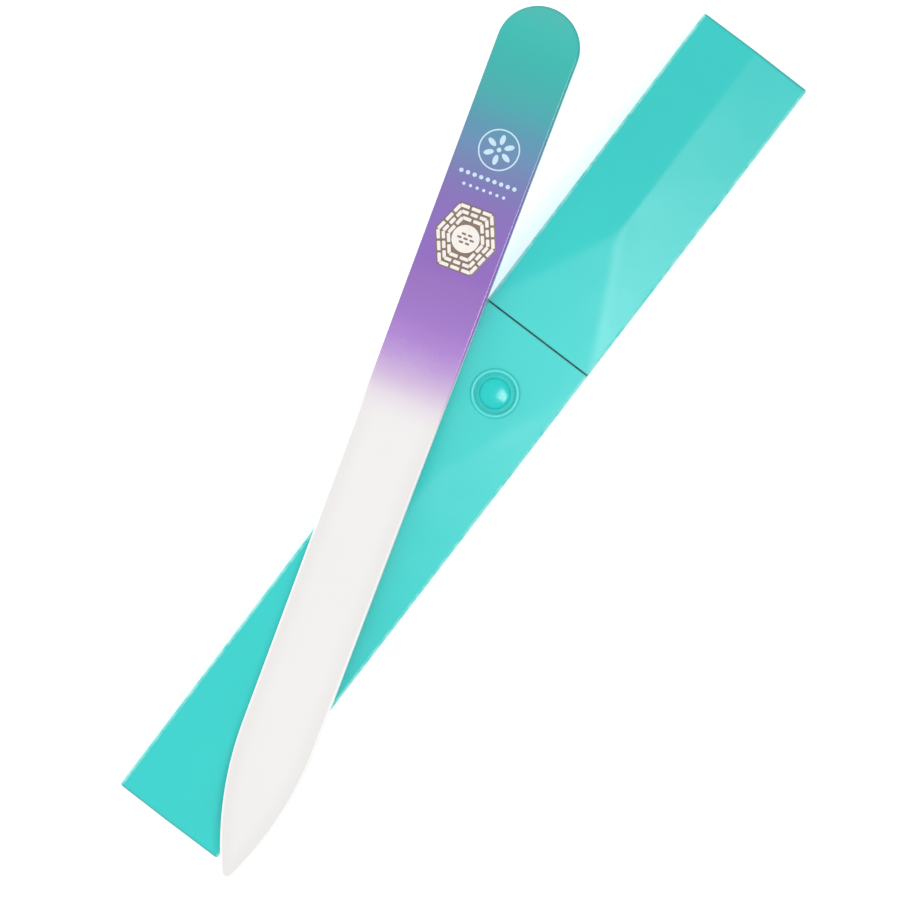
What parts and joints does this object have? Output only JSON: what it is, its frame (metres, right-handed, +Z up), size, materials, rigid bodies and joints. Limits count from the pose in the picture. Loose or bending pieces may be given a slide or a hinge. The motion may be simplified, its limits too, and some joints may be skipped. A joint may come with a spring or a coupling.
{
  "type": "glass nail file with hard case",
  "caption": "Glass nail file with a pointed cuticle-pushing tip, lying across its slim faceted hard case with a slide-off cap.",
  "frame": {"origin": "on the case's flat underside, at the middle of its length and width", "axes": "+Y along the case towards the cap's closed end, +Z up out of the faceted top, +X across"},
  "size_m": [0.0443, 0.1426, 0.0122],
  "materials": {
    "etched_glass": "finely etched, frosted white",
    "sprayed_colour": "smooth sprayed enamel, teal fading through blue to purple and out",
    "white_ink": "screen-printed white ink",
    "foil": "thin security foil with pale dashes",
    "case_plastic": "satin turquoise moulding",
    "neck_plastic": "satin turquoise moulding, slightly darker"
  },
  "bodies": {
    "case": {"case_body": "case_plastic", "neck_sleeve": "neck_plastic"},
    "cap": {"case_cap": "case_plastic"},
    "file": {"glass_blank": "etched_glass", "handle_coat": "sprayed_colour", "printed_ornament": "white_ink", "foil_seal": "foil"}
  },
  "joints": [
    {"name": "cap_slide", "type": "slide", "parent": "case", "child": "cap", "axis": [0, 1, 0], "range_m": [0, 0.03]},
    {"name": "file_lift", "type": "slide", "parent": "case", "child": "file", "axis": [0, 0, 1], "range_m": [0, 0.03]}
  ]
}
